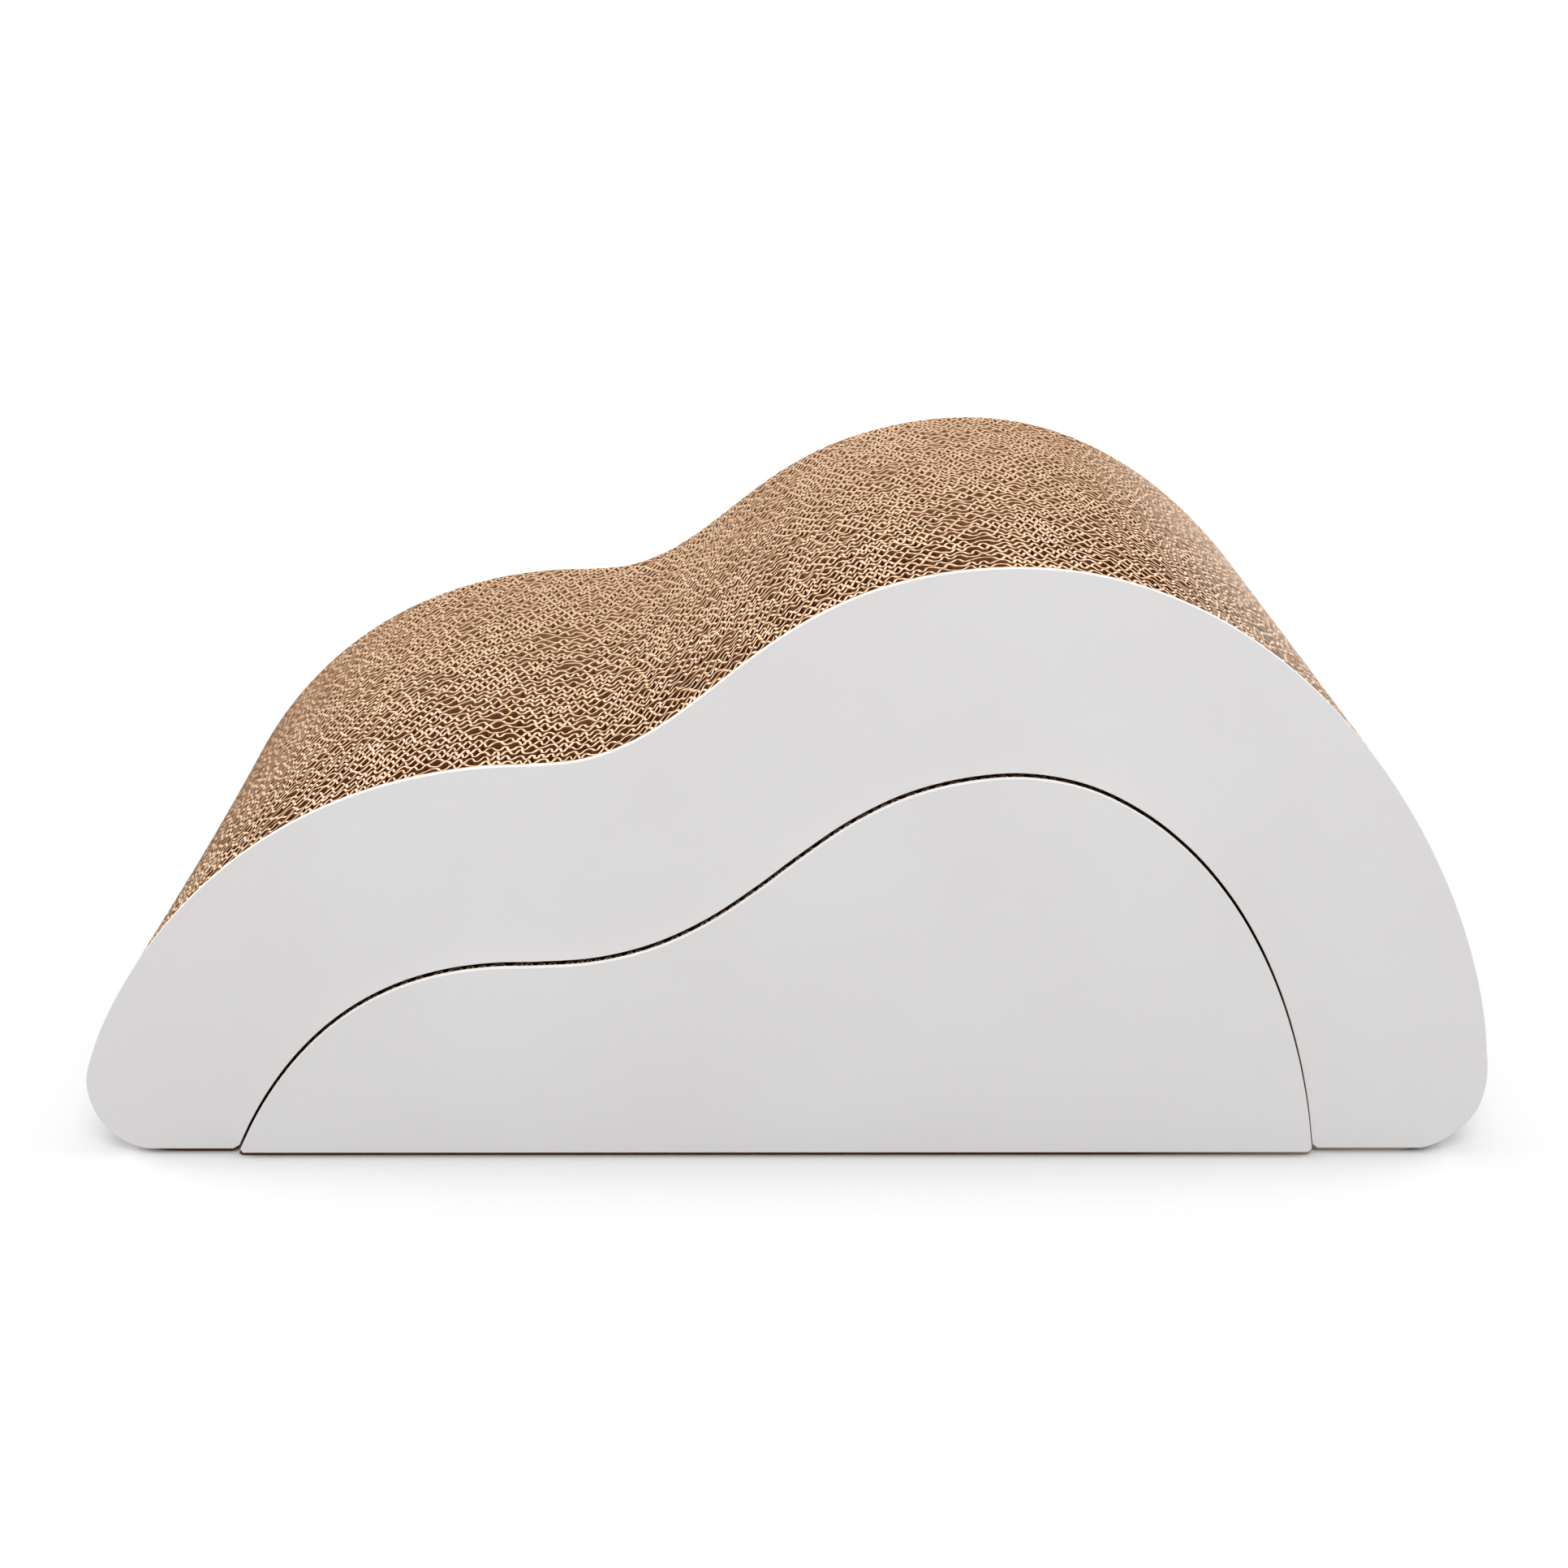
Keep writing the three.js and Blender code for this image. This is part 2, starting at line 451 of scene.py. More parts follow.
@dataclass
class Outline:
    """The closed outline of a board in X and Z, smoothed through the corners of its solid."""

    node: str
    spacing: float = 0.00025
    sharp_turn: float = math.radians(28.0)
    decimals: int = 5
    points: np.ndarray = field(init=False)

    def __post_init__(self) -> None:
        """Reads the solid's corners and smooths them."""
        self.points = self._smoothed(self._corners())

    def _corners(self) -> np.ndarray:
        """The corners of the solid's front face, in order.

        Returns:
            One row of x and z for each corner.
        """
        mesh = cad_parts[self.node].data
        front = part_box(self.node)[0].y
        places = [tuple(round(c, self.decimals) for c in vertex.co) for vertex in mesh.vertices]
        links: dict[Pair, set[Pair]] = {}
        for polygon in mesh.polygons:
            # Only the walls between the two faces follow the outline.
            if abs(polygon.normal.y) > 0.5:
                continue
            for first, second in polygon.edge_keys:
                a, b = places[first], places[second]
                if max(abs(a[1] - front), abs(b[1] - front)) < TOUCH:
                    links.setdefault((a[0], a[2]), set()).add((b[0], b[2]))
                    links.setdefault((b[0], b[2]), set()).add((a[0], a[2]))
        start = min(links)
        loop = [start]
        ahead = max(links[start], key=lambda point: point[1])
        while ahead != start:
            loop.append(ahead)
            ahead = next(iter(links[ahead] - {loop[-2]}))
        return np.array(loop)

    def _smoothed(self, corners: np.ndarray) -> np.ndarray:
        """Runs a smooth curve through the corners, and keeps the sharp ones sharp.

        Args:
            corners: The outline's corners, in order.

        Returns:
            Closely spaced points along the outline.
        """
        ahead = np.roll(corners, -1, axis=0) - corners
        reach = np.linalg.norm(ahead, axis=1)
        way = unit(ahead)
        before, before_reach = np.roll(way, 1, axis=0), np.roll(reach, 1)
        turn = turns(way)
        weight = (before_reach / (before_reach + reach))[:, None]
        tangent = before * (1.0 - weight) + way * weight
        curve = []
        for i in range(len(corners)):
            j = (i + 1) % len(corners)
            leaving = way[i] if turn[i] > self.sharp_turn else tangent[i]
            arriving = way[i] if turn[j] > self.sharp_turn else tangent[j]
            steps = max(2, int(reach[i] / self.spacing))
            t = np.linspace(0.0, 1.0, steps, endpoint=False)[:, None]
            curve.append(
                (2 * t**3 - 3 * t**2 + 1) * corners[i]
                + (t**3 - 2 * t**2 + t) * leaving * reach[i]
                + (3 * t**2 - 2 * t**3) * corners[j]
                + (t**3 - t**2) * arriving * reach[i]
            )
        smooth = np.vstack(curve)
        smooth[:, 1] = np.maximum(smooth[:, 1], corners[:, 1].min())
        return smooth

    def chains(self) -> tuple[np.ndarray, np.ndarray]:
        """Splits the outline at its ends in X.

        Returns:
            The upper and the lower line, each from the left end to the right.
        """
        loop = np.roll(self.points, -int(self.points[:, 0].argmin()), axis=0)
        right = int(loop[:, 0].argmax())
        upper, lower = loop[: right + 1], np.vstack([loop[right:], loop[:1]])[::-1]
        return upper, lower

    def ring(self, spacing: float) -> np.ndarray:
        """Evenly thinned points of the outline, with its sharp corners kept.

        Args:
            spacing: The distance between two points.

        Returns:
            The points, in order.
        """
        ahead = np.roll(self.points, -1, axis=0) - self.points
        steps = np.linalg.norm(ahead, axis=1)
        kept, since = [], spacing
        for point, turn, step in zip(self.points, turns(unit(ahead)), steps):
            if since >= spacing or turn > self.sharp_turn:
                kept.append(point)
                since = 0.0
            since += step
        return np.array(kept)


@dataclass
class PaperStrip:
    """A sheet of paper that stands on edge and fills a board's outline from foot to lip.

    The strip is flat at first, with both faces at the same place. The fluting tree gives it its
    place along Y, its waves and its thickness. The attribute lip is 1 at the upper cut edge and
    falls by 1 for each fade below it.
    """

    outline: Outline
    step: float
    fade: float = 0.002

    def stations(self) -> np.ndarray:
        """The places along the upper edge where the strip has points.

        Returns:
            Six columns: the length along the edge, x, the lower edge's z, the upper edge's z,
            and the upper edge's direction in x and z.
        """
        upper, lower = self.outline.chains()
        stretches = np.linalg.norm(np.diff(upper, axis=0), axis=1)
        reached = np.concatenate([[0.0], np.cumsum(stretches)])
        length = np.arange(self.step / 2, reached[-1], self.step)
        x = np.interp(length, reached, upper[:, 0])
        top = np.interp(length, reached, upper[:, 1])
        foot = np.interp(x, lower[:, 0], lower[:, 1])
        way = unit(np.column_stack([np.gradient(x), np.gradient(top)]))
        return np.column_stack([length, x, foot, top, way])

    def mesh(self, name: str) -> bpy.types.Mesh:
        """Builds the flat strip.

        Args:
            name: The mesh's name.

        Returns:
            The mesh, with its attributes.
        """
        stations = self.stations()
        points = []
        values = {key: [] for key in ("side", "lip", "length", "way_x", "way_z")}
        for length, x, foot, top, way_x, way_z in stations:
            for z in (foot, top):
                for face in (-1.0, 1.0):
                    points.append((x, 0.0, z))
                    values["side"].append(face)
                    values["lip"].append(1.0 - (top - z) / self.fade)
                    values["length"].append(length)
                    values["way_x"].append(way_x)
                    values["way_z"].append(way_z)

        def at(station: int, row: int, face: int) -> int:
            """The index of a point, by its station, its edge and its face."""
            return (station * 2 + row) * 2 + face

        faces, cut = [], []
        last = len(stations) - 1
        for s in range(last):
            n = s + 1
            faces.append((at(s, 0, 0), at(n, 0, 0), at(n, 1, 0), at(s, 1, 0)))
            faces.append((at(s, 0, 1), at(s, 1, 1), at(n, 1, 1), at(n, 0, 1)))
            faces.append((at(s, 1, 0), at(n, 1, 0), at(n, 1, 1), at(s, 1, 1)))
            faces.append((at(s, 0, 0), at(s, 0, 1), at(n, 0, 1), at(n, 0, 0)))
            cut += [0.0, 0.0, 1.0, 1.0]
        faces.append((at(0, 0, 0), at(0, 1, 0), at(0, 1, 1), at(0, 0, 1)))
        faces.append((at(last, 0, 0), at(last, 0, 1), at(last, 1, 1), at(last, 1, 0)))
        cut += [1.0, 1.0]
        mesh = bpy.data.meshes.new(name)
        mesh.from_pydata(points, [], faces)
        for key, numbers in values.items():
            mesh.attributes.new(key, "FLOAT", "POINT").data.foreach_set("value", numbers)
        mesh.attributes.new("cut_edge", "FLOAT", "FACE").data.foreach_set("value", cut)
        return mesh


@dataclass(frozen=True)
class Settling:
    """How far the glued block has moved out of its clean outline, from front to back.

    The front has dropped, and towards the back the shoulder's flank has swelled above the toe,
    and the slope up to the crest has dipped. Each at is a place in X.
    """

    front_drop: float = 0.0
    shoulder_swell: float = 0.0
    slope_dip: float = 0.0
    shoulder_at: float = -0.245
    shoulder_reach: float = 0.1
    toe_height: float = 0.0295
    toe_reach: float = 0.03
    slope_at: float = 0.035
    slope_reach: float = 0.04

    def moved(self, points: np.ndarray, way: np.ndarray, depth: float) -> np.ndarray:
        """Moves points of the upper edge.

        Args:
            points: Their x and z.
            way: The edge's direction at each of them, towards +X.
            depth: Where they are in the stack, from 0 at the front to 1 at the back.

        Returns:
            The moved points.
        """
        x, z = points.T
        swell = self.shoulder_swell * bell(x, self.shoulder_at, self.shoulder_reach)
        swell *= np.clip((z - self.toe_height) / self.toe_reach, 0.0, 1.0)
        dip = self.slope_dip * bell(x, self.slope_at, self.slope_reach)
        out = ((swell - dip) * depth**2)[:, None] * np.column_stack([-way[:, 1], way[:, 0]])
        out[:, 1] -= self.front_drop * (1.0 - depth) ** 2 * np.maximum(way[:, 0], 0.0)
        return points + out

    def settled(self, f: Fields, papers: Socket) -> Socket:
        """Moves the lips of a board's papers in its node tree, as moved does with points.

        Args:
            f: The tree's fields.
            papers: The papers.

        Returns:
            The settled papers.
        """
        lip = f.math("MAXIMUM", f.attribute("lip"), 0.0)
        depth = f.math("DIVIDE", f.sheet, f.given["Stack sheets"])
        way_x, way_z = f.attribute("way_x"), f.attribute("way_z")
        x, y, z = f.place()
        hump = f.bell(x, self.shoulder_at, self.shoulder_reach)
        above = f.math("DIVIDE", f.math("SUBTRACT", z, self.toe_height), self.toe_reach)
        swell = f.product(hump, f.given["Shoulder swell"], f.within(above, 0.0, 1.0))
        dip = f.product(f.bell(x, self.slope_at, self.slope_reach), f.given["Slope dip"])
        out = f.product(f.math("SUBTRACT", swell, dip), depth, depth, lip)
        ahead = f.math("SUBTRACT", 1.0, depth)
        flat = f.math("MAXIMUM", way_x, 0.0)
        drop = f.product(f.given["Front drop"], ahead, ahead, flat, lip)
        new_x = f.math("SUBTRACT", x, f.product(out, way_z))
        new_z = f.math("SUBTRACT", f.total(z, f.product(out, way_x)), drop)
        return f.moved(papers, new_x, y, new_z)


@dataclass(frozen=True)
class Drift:
    """Smooth noise in the papers of a stack.

    It changes per_metre times along a metre of paper, and per_sheet times from one paper to the
    next. Its layer tells it from the others, and its amount is what it is multiplied by.
    """

    per_metre: float
    per_sheet: float
    layer: float
    amount: float = 1.0

    def read(self, f: Fields) -> Socket:
        """Reads the noise in a node tree.

        Args:
            f: The tree's fields.

        Returns:
            The noise's socket, between about -1 and 1, without its amount.
        """
        along = f.product(f.attribute("length"), self.per_metre)
        place = f.vector(along, f.product(f.sheet, self.per_sheet), self.layer)
        return f.wander(place, f.given["Seed"])


@dataclass
class Fluting:
    """Fluted papers glued crest to crest, so that their cut edges close round rows of cells.

    A paper strays from its level by about wander. The papers' pitches spread over the share
    uneven of the pitch, and each paper is uneven_step further through that range than the last.
    Fullness rounds the waves, and they are crushed where their noise is over crush_from. A flat
    liner has the share liner of a fluted paper's thickness, and the papers' cut edges grow
    thicker by burr_behind towards the back.
    """

    pitch: float = 0.0046
    paper: float = 0.0008
    height: float = 0.0018
    slow_level: Drift = Drift(28.0, 0.35, 0.0)
    quick_level: Drift = Drift(95.0, 1.1, 4.0)
    wander: float = 0.0007
    shared_turns: Drift = Drift(18.0, 0.13, 12.0, 1.5)
    own_turns: Drift = Drift(85.0, 3.1, 15.0, 0.6)
    uneven: float = 0.14
    uneven_step: float = 0.377
    fullness: float = 0.4
    crushed: Drift = Drift(60.0, 2.3, 21.0, 0.5)
    crush_from: float = 0.2
    liner: float = 0.5
    burr: Drift = Drift(130.0, 1.3, 18.0, 0.5)
    burr_behind: float = 0.3
    ragged: Drift = Drift(420.0, 5.3, 24.0, 0.00012)
    seed: int = 15

    @property
    def liner_half(self) -> float:
        """Half the thickness of a flat liner."""
        return self.paper * self.liner / 2

    @property
    def liner_gap(self) -> float:
        """The distance from a liner's middle to the middle of the fluted paper on it."""
        return self.liner_half + self.height + self.paper / 2

    def tree(self, settling: Settling) -> bpy.types.NodeTree:
        """Builds the node tree that turns a flat strip into a board's papers.

        Args:
            settling: The places where the settled block swells and dips.

        Returns:
            The tree, with its sizes as named inputs.
        """
        tree = bpy.data.node_groups.new("corrugated_board", "GeometryNodeTree")
        tree.is_modifier = True
        numbers = ("First sheet", "Sheets", "Stack sheets", "Seed")
        sizes = ("Start", "Sheet pitch", "Front liner", "Back liner")
        moves = ("Front drop", "Shoulder swell", "Slope dip")
        face = tree.interface
        face.new_socket("Strip", in_out="INPUT", socket_type="NodeSocketGeometry")
        face.new_socket("Board", in_out="OUTPUT", socket_type="NodeSocketGeometry")
        for name in numbers:
            face.new_socket(name, in_out="INPUT", socket_type="NodeSocketInt")
        for name in sizes + moves:
            face.new_socket(name, in_out="INPUT", socket_type="NodeSocketFloat")
        face.new_socket("Paper", in_out="INPUT", socket_type="NodeSocketMaterial")
        f = Fields(tree)
        papers = settling.settled(f, self._formed(f, self._spread(f)))
        dressed = f.node("GeometryNodeSetMaterial", papers)
        f.feed(dressed.inputs["Material"], f.given["Paper"])
        f.node("NodeGroupOutput", dressed.outputs[0])
        return tree

    def _spread(self, f: Fields) -> Socket:
        """Repeats the strip and numbers its copies through the stack.

        The copies are realized here already, because each gets waves of its own.

        Args:
            f: The tree's fields.

        Returns:
            The copies, with the attribute sheet.
        """
        line = f.node("GeometryNodeMeshLine")
        f.feed(line.inputs["Count"], f.given["Sheets"])
        line.inputs["Offset"].default_value = (0.0, 0.0, 0.0)
        stored = f.node("GeometryNodeStoreNamedAttribute", data_type="FLOAT", domain="POINT")
        number = f.total(f.node("GeometryNodeInputIndex").outputs[0], f.given["First sheet"])
        f.feed(stored.inputs["Geometry"], line.outputs[0])
        f.feed(stored.inputs["Name"], "sheet")
        f.feed(stored.inputs["Value"], number)
        copies = f.node("GeometryNodeInstanceOnPoints", stored.outputs[0])
        f.feed(copies.inputs["Instance"], f.given["Strip"])
        return f.node("GeometryNodeRealizeInstances", copies.outputs[0]).outputs[0]

    def _inside(self, f: Fields) -> Socket:
        """How many papers there are between a paper and the nearest cover."""
        last = f.math("SUBTRACT", f.given["Stack sheets"], 1.0)
        return f.math("MINIMUM", f.sheet, f.math("SUBTRACT", last, f.sheet))

    def _fluted(self, f: Fields) -> Socket:
        """A 0 for the flat liners at the covers and a 1 for the fluted papers."""
        return f.math("MINIMUM", self._inside(f), 1.0)

    def _level(self, f: Fields) -> Socket:
        """A paper's middle, by its number in the stack, with its wander, none at the covers.

        Args:
            f: The tree's fields.

        Returns:
            The middle's y.
        """
        free = f.math("MINIMUM", f.product(self._inside(f), 0.5), 1.0)
        even = f.math("MULTIPLY_ADD", f.sheet, f.given["Sheet pitch"], f.given["Start"])
        even = f.within(even, f.given["Front liner"], f.given["Back liner"])
        drift = f.total(self.slow_level.read(f), self.quick_level.read(f))
        return f.total(even, f.product(drift, free, self.wander))

    def _kept(self, f: Fields) -> Socket:
        """How much of its height a wave has kept: less where it is crushed, none in a liner.

        Args:
            f: The tree's fields.

        Returns:
            The share, from 0 to 1.
        """
        crushed = f.math("SUBTRACT", self.crushed.read(f), self.crush_from)
        lost = -self.crushed.amount / (1.0 - self.crush_from)
        kept = f.math("MULTIPLY_ADD", f.math("MAXIMUM", crushed, 0.0), lost, 1.0)
        return f.product(f.math("MAXIMUM", kept, 0.0), self._fluted(f))

    def _turns(self, f: Fields) -> Socket:
        """Where a paper is in its waves, each paper half a turn off the last.

        Args:
            f: The tree's fields.

        Returns:
            The number of whole turns.
        """
        pace = f.math("FRACT", f.product(f.sheet, self.uneven_step))
        stretched = f.math("MULTIPLY_ADD", pace, self.uneven, 1.0 - self.uneven / 2)
        even = f.product(f.attribute("length"), stretched, 1.0 / self.pitch)
        shared = f.product(self.shared_turns.read(f), self.shared_turns.amount)
        own = f.product(self.own_turns.read(f), self.own_turns.amount)
        return f.total(even, f.product(f.sheet, 0.5), shared, own)

    def _thick(self, f: Fields) -> Socket:
        """Half a paper's thickness towards its own face, with the burr that the saw has left.

        Args:
            f: The tree's fields.

        Returns:
            The signed thickness.
        """
        patch = f.product(self.burr.read(f), self.burr.amount)
        behind = f.math("DIVIDE", f.sheet, f.given["Stack sheets"])
        burr = f.total(1.0, f.product(behind, self.burr_behind), patch)
        whole = f.math("MULTIPLY_ADD", self._fluted(f), 1.0 - self.liner, self.liner)
        return f.product(f.attribute("side"), self.paper / 2, burr, whole)

    def _formed(self, f: Fields, strips: Socket) -> Socket:
        """Lays the papers at their places and waves them.

        Args:
            f: The tree's fields.
            strips: The flat strips, numbered.

        Returns:
            The papers.
        """
        lip = f.math("MAXIMUM", f.attribute("lip"), 0.0)
        x, _, z = f.place()
        height = f.product(self._kept(f), self.height)
        angle = f.product(self._turns(f), math.tau)
        twice = f.product(angle, 2.0)
        rise = f.product(f.math("COSINE", angle), height, math.tau / self.pitch)
        run = f.math("MULTIPLY_ADD", f.math("COSINE", twice), -self.fullness, 1.0)
        slope = f.math("SQRT", f.total(f.product(rise, rise), f.product(run, run)))
        across = f.math("DIVIDE", self._thick(f), slope)
        sway = f.product(f.math("SINE", twice), self.fullness * self.pitch / (2 * math.tau))
        back = f.total(sway, f.product(across, rise))
        raised = f.product(self.ragged.read(f), lip, self.ragged.amount)
        wave = f.product(f.math("SINE", angle), height)
        new_x = f.math("SUBTRACT", x, f.product(back, f.attribute("way_x")))
        new_y = f.total(self._level(f), wave, f.product(across, run))
        lowered = f.product(back, lip, f.attribute("way_z"))
        return f.moved(strips, new_x, new_y, f.math("SUBTRACT", f.total(z, raised), lowered))


def in_scene(name: str, data: bpy.types.ID) -> bpy.types.Object:
    """Puts an object into the scene.

    Args:
        name: The object's name.
        data: Its mesh, lamp or camera data.

    Returns:
        The new object.
    """
    made = bpy.data.objects.new(name, data)
    bpy.context.scene.collection.objects.link(made)
    return made


def plain_copy(source: bpy.types.Object, name: str) -> bpy.types.Object:
    """Turns an object with modifiers into a new object with a plain mesh.

    Args:
        source: The object with its modifiers.
        name: The new object's name.

    Returns:
        The new object.
    """
    depsgraph = bpy.context.evaluated_depsgraph_get()
    mesh = bpy.data.meshes.new_from_object(source.evaluated_get(depsgraph), depsgraph=depsgraph)
    mesh.name = name
    for spare in ("side", "length", "way_x", "way_z", "sheet"):
        mesh.attributes.remove(mesh.attributes[spare])
    return in_scene(name, mesh)


@dataclass
class BoardStack:
    """The corrugated core of one part: two papers for each of its layer solids."""

    part: Part
    paper: bpy.types.Material
    fluting: Fluting
    tree: bpy.types.NodeTree
    settling: Settling
    cover: float
    sheets_per_layer: int = 2
    step: float = 0.00045

    def layers(self) -> list[str]:
        """The part's layer solids, from the front."""
        return sorted(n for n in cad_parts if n.startswith(f"{self.part.solids}_layer_"))

    def build(self) -> list[bpy.types.Object]:
        """Builds one piece for each layer solid.

        Returns:
            The pieces, from the front.
        """
        layers = self.layers()
        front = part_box(f"{self.part.solids}_front_panel")[0].y + self.cover
        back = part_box(f"{self.part.solids}_back_panel")[1].y - self.cover
        sheets = len(layers) * self.sheets_per_layer
        # One flat liner lies at each cover, and the rest is fluted.
        fluted = sheets - len(Side)
        strip = PaperStrip(Outline(layers[0]), self.step).mesh(f"{self.part.label}_strip")
        first, last = front + self.fluting.liner_half, back - self.fluting.liner_half
        gap = self.fluting.liner_gap
        pitch = (last - first - 2 * gap) / (fluted - 1)
        sizes = {item.name: item.identifier for item in self.tree.interface.items_tree}
        pieces = []
        for number, layer in enumerate(layers):
            blank = in_scene("blank", strip)
            modifier = blank.modifiers.new("board", "NODES")
            modifier.node_group = self.tree
            for name, value in (
                ("First sheet", number * self.sheets_per_layer),
                ("Sheets", self.sheets_per_layer),
                ("Stack sheets", sheets),
                ("Seed", self.fluting.seed),
                ("Start", first + gap - pitch),
                ("Sheet pitch", pitch),
                ("Front liner", first),
                ("Back liner", last),
                ("Front drop", self.settling.front_drop),
                ("Shoulder swell", self.settling.shoulder_swell),
                ("Slope dip", self.settling.slope_dip),
                ("Paper", self.paper),
            ):
                modifier[sizes[name]] = value
            piece = plain_copy(blank, f"{self.part.label}_board_{number + 1:02d}")
            bpy.data.objects.remove(blank)
            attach(piece, self.part.body)
            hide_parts(layer)
            pieces.append(piece)
        LOG.info("%s core: %d boards, %d sheets", self.part.label, len(pieces), sheets)
        return pieces


@dataclass
class CoverPanel:
    """One white cover: the outline of its solid, smoothed, with softly rounded cut edges."""

    part: Part
    side: Side
    paper: bpy.types.Material
    settling: Settling
    thickness: float
    rounding: float = 0.00015
    spacing: float = 0.0022
    arc_steps: int = 4

    @property
    def solid(self) -> str:
        """The cover's solid."""
        return f"{self.part.solids}_{self.side.value}_panel"

    def _sections(self) -> list[Pair]:
        """The rings that the cover is made of, from its front face to its back face.

        Returns:
            Each ring's y, and how far it lies inside the outline.
        """
        low, high = (corner.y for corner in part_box(self.solid))
        if self.side is Side.FRONT:
            high = low + self.thickness
        else:
            low = high - self.thickness
        arc = [i * math.pi / 2 / self.arc_steps for i in range(self.arc_steps + 1)]
        r = self.rounding
        front = [(low + r - r * math.cos(a), r - r * math.sin(a)) for a in arc]
        back = [(high - r + r * math.cos(a), r - r * math.sin(a)) for a in reversed(arc)]
        return front + back

    def _settled(self, outline: Outline, ring: np.ndarray) -> np.ndarray:
        """Moves the ring's upper edge as far as the cover has settled.

        Args:
            outline: The cover's outline.
            ring: Points round it.

        Returns:
            The moved points.
        """
        upper, _ = outline.chains()
        way = unit(np.gradient(upper, axis=0))
        gap = np.linalg.norm(ring[:, None, :] - upper[None, :, :], axis=2)
        nearest, on_top = gap.argmin(axis=1), gap.min(axis=1) < TOUCH
        moved = self.settling.moved(ring, way[nearest], float(self.side is Side.BACK))
        return np.where(on_top[:, None], moved, ring)

    def build(self) -> bpy.types.Object:
        """Builds the cover.

        Returns:
            The finished piece.
        """
        outline = Outline(self.solid)
        ring = self._settled(outline, outline.ring(self.spacing))
        count = len(ring)
        ahead = unit(np.roll(ring, -1, axis=0) - ring)
        way = unit(ahead + np.roll(ahead, 1, axis=0))
        inward = np.column_stack([way[:, 1], -way[:, 0]])
        sections = self._sections()
        points = [(x, y, z) for y, inset in sections for x, z in ring + inward * inset]
        faces = []
        for level in range(len(sections) - 1):
            a, b = level * count, (level + 1) * count
            for i in range(count):
                j = (i + 1) % count
                faces.append((a + i, b + i, b + j, a + j))
        edge = [1.0] * len(faces) + [0.0, 0.0]
        last = (len(sections) - 1) * count
        faces.append(tuple(range(count)))
        faces.append(tuple(last + i for i in reversed(range(count))))
        mesh = bpy.data.meshes.new(f"{self.part.label}_{self.side.value}_cover")
        mesh.from_pydata(points, [], faces)
        mesh.attributes.new("cut_edge", "FLOAT", "FACE").data.foreach_set("value", edge)
        mesh.materials.append(self.paper)
        for polygon, is_edge in zip(mesh.polygons, edge):
            polygon.use_smooth = bool(is_edge)
        piece = in_scene(mesh.name, mesh)
        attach(piece, self.part.body)
        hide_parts(self.solid)
        LOG.info("%s: %d points round", piece.name, count)
        return piece


@dataclass(frozen=True)
class Lamp:
    """A square soft lamp: where it hangs, the point it faces, its side and its watts."""

    name: str
    place: Triple
    target: Triple
    side: float
    power: float

    def hang(self) -> bpy.types.Object:
        """Hangs the lamp.

        Returns:
            The lamp.
        """
        data = bpy.data.lights.new(self.name, "AREA")
        data.shape = "SQUARE"
        data.size = self.side
        data.energy = self.power
        lamp = in_scene(self.name, data)
        lamp.location = self.place
        way = Vector(self.target) - Vector(self.place)
        lamp.rotation_euler = way.to_track_quat("-Z", "Y").to_euler()
        return lamp


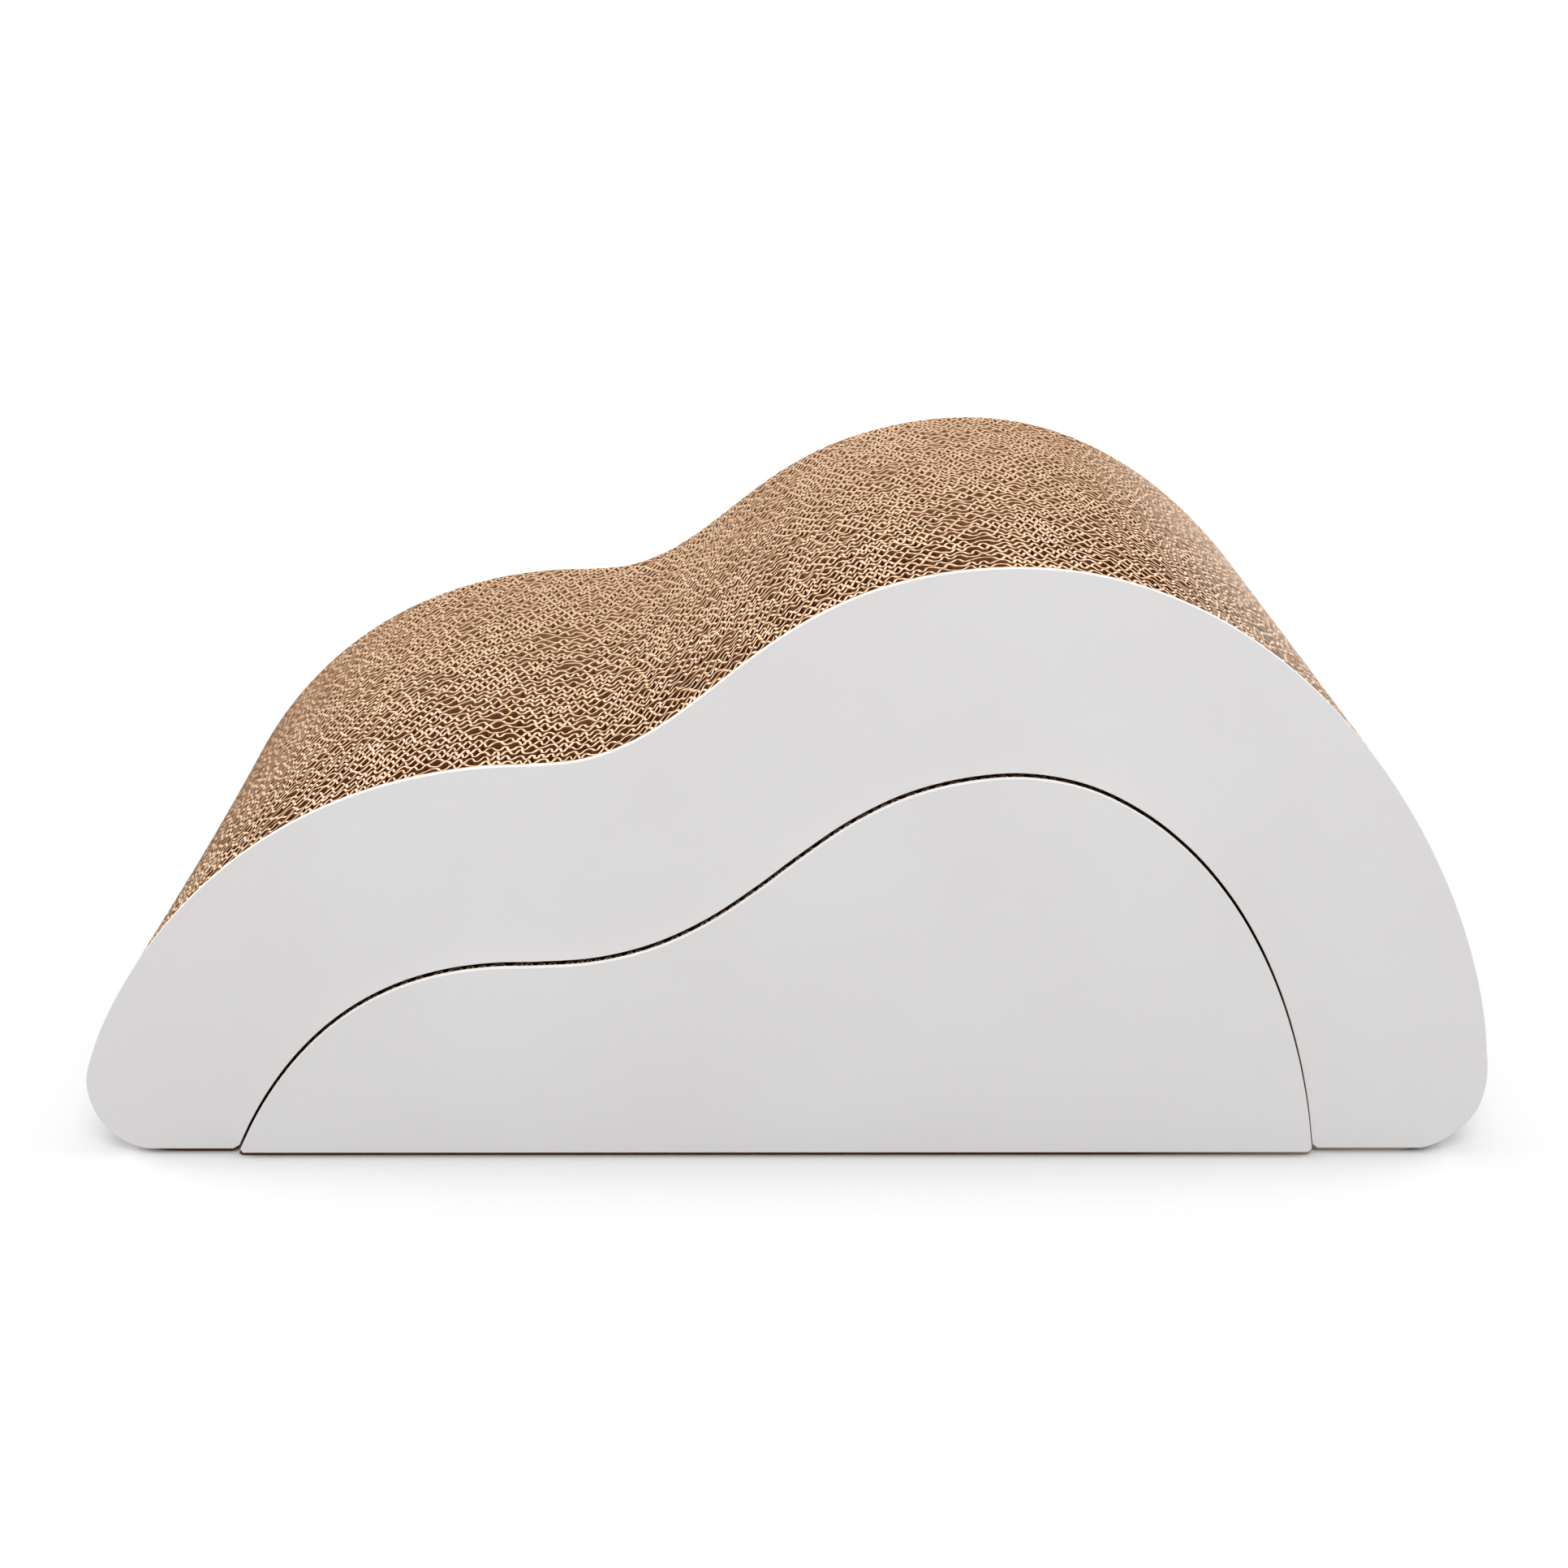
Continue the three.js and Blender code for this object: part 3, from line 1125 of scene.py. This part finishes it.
@dataclass
class Studio:
    """The floor, the soft lamps and the camera.

    What the camera sees of the floor fades to plain white as its distance from the object's
    foot goes through clear_gap, so that the shadow stays and no edge shows.
    """

    floor_half: float = 3.0
    floor_seen: Triple = (0.6, 0.602, 0.606)
    floor_bounce: Triple = (0.33, 0.33, 0.33)
    foot_half: Pair = (0.241, 0.125)
    clear_gap: Pair = (0.004, 0.043)
    sky_light: float = 0.48
    lamps: tuple[Lamp, ...] = (
        Lamp("overhead", (0.1, 0.15, 1.6), (0.0, 0.0, 0.1), 1.2, 2.0),
        Lamp("front", (0.1, -1.35, 1.65), (0.0, -0.1, 0.1), 1.1, 28.8),
        Lamp("left", (-1.25, 0.1, 0.75), (-0.1, 0.0, 0.1), 0.9, 19.0),
        Lamp("right", (1.15, 0.1, 1.0), (0.1, 0.0, 0.1), 0.9, 15.0),
    )
    focal_px: float = 2600.0
    camera_place: Triple = (-0.0037, -0.7862, 0.4009)
    look_down: float = 21.18
    look_right: float = 0.22
    roll: float = 0.08
    clip: Pair = (0.01, 50.0)

    def _seen(self, nodes: Nodes) -> Socket:
        """A 1 where a ray comes straight from the camera, or through gloss or glass.

        Args:
            nodes: The tree that it is read in.

        Returns:
            The value socket.
        """
        path = nodes.node("ShaderNodeLightPath").outputs
        straight = nodes.math("MAXIMUM", path["Is Camera Ray"], path["Is Glossy Ray"])
        return nodes.math("MAXIMUM", straight, path["Is Transmission Ray"])

    def floor(self) -> bpy.types.Object:
        """Lays the pale floor that holds the object's shadow, and is plain white beyond it.

        Returns:
            The floor.
        """
        h = self.floor_half
        mesh = bpy.data.meshes.new("floor")
        mesh.from_pydata([(-h, -h, 0), (h, -h, 0), (h, h, 0), (-h, h, 0)], [], [(0, 1, 2, 3)])
        shader = Shader("floor")
        seen = self._seen(shader)
        folded = shader.vectors("ABSOLUTE", shader.place())[0]
        past = shader.vectors("SUBTRACT", folded, (*self.foot_half, 0.0))[0]
        beyond = shader.vectors("MAXIMUM", past, (0.0, 0.0, 0.0))[0]
        gap = shader.vectors("LENGTH", beyond)["Value"]
        cleared = shader.math("MULTIPLY", shader.stretch(gap, self.clear_gap), seen)
        colour = shader.blend(seen, self.floor_bounce, self.floor_seen)
        matt = shader.node("ShaderNodeBsdfDiffuse", colour).outputs[0]
        white = shader.node("ShaderNodeEmission").outputs[0]
        both = shader.node("ShaderNodeMixShader", cleared, matt, white).outputs[0]
        shader.feed(shader.output.inputs["Surface"], both)
        mesh.materials.append(shader.material)
        floor = in_scene("floor", mesh)
        return floor

    def sky(self) -> None:
        """Sets an even white sky, plain white where the camera sees it."""
        world = bpy.data.worlds.new("sky")
        bpy.context.scene.world = world
        world.use_nodes = True
        nodes = Nodes(world.node_tree)
        nodes.tree.nodes.clear()
        soft = nodes.node("ShaderNodeBackground", WHITE, self.sky_light).outputs[0]
        white = nodes.node("ShaderNodeBackground", WHITE).outputs[0]
        mixed = nodes.node("ShaderNodeMixShader", self._seen(nodes), soft, white).outputs[0]
        nodes.node("ShaderNodeOutputWorld", mixed)

    def camera(self) -> bpy.types.Object:
        """Sets the camera where the photograph was taken from.

        Returns:
            The camera.
        """
        data = bpy.data.cameras.new("camera")
        data.sensor_width = SENSOR_MM
        data.lens = self.focal_px / PHOTO_SIDE_PX * SENSOR_MM
        data.clip_start, data.clip_end = self.clip
        camera = in_scene("camera", data)
        camera.location = self.camera_place
        turned = (
            Matrix.Rotation(math.radians(-self.look_right), 3, "Z")
            @ Matrix.Rotation(math.radians(90.0 - self.look_down), 3, "X")
            @ Matrix.Rotation(math.radians(self.roll), 3, "Z")
        )
        camera.rotation_euler = turned.to_euler()
        bpy.context.scene.camera = camera
        return camera

    def build(self) -> None:
        """Sets up the whole studio."""
        self.floor()
        self.sky()
        for lamp in self.lamps:
            lamp.hang()
        self.camera()
        bpy.context.scene.view_settings.view_transform = "Standard"
        LOG.info("studio: a floor, %d lamps and a camera", len(self.lamps))


def main() -> None:
    """Builds the scratcher's pieces around its solids, then the studio."""
    logging.basicConfig(level=logging.INFO, format="%(name)s: %(message)s")
    kraft = KraftPaper().material()
    cover = CoverPaper().material()
    fluting = Fluting()
    arch = Settling(front_drop=0.001, shoulder_swell=0.0044, slope_dip=0.0015)
    settled = {Part.ARCH: arch, Part.BUMP: Settling(front_drop=0.0012)}
    # The bump's boards have sunk a little behind their front cover, and its rim has not.
    rims = {Part.ARCH: arch, Part.BUMP: Settling()}
    tree = fluting.tree(arch)
    for part, settling in settled.items():
        BoardStack(part, kraft, fluting, tree, settling, COVER_THICKNESS).build()
        for side in Side:
            CoverPanel(part, side, cover, rims[part], COVER_THICKNESS).build()
    Studio().build()


if __name__ == "__main__":
    main()
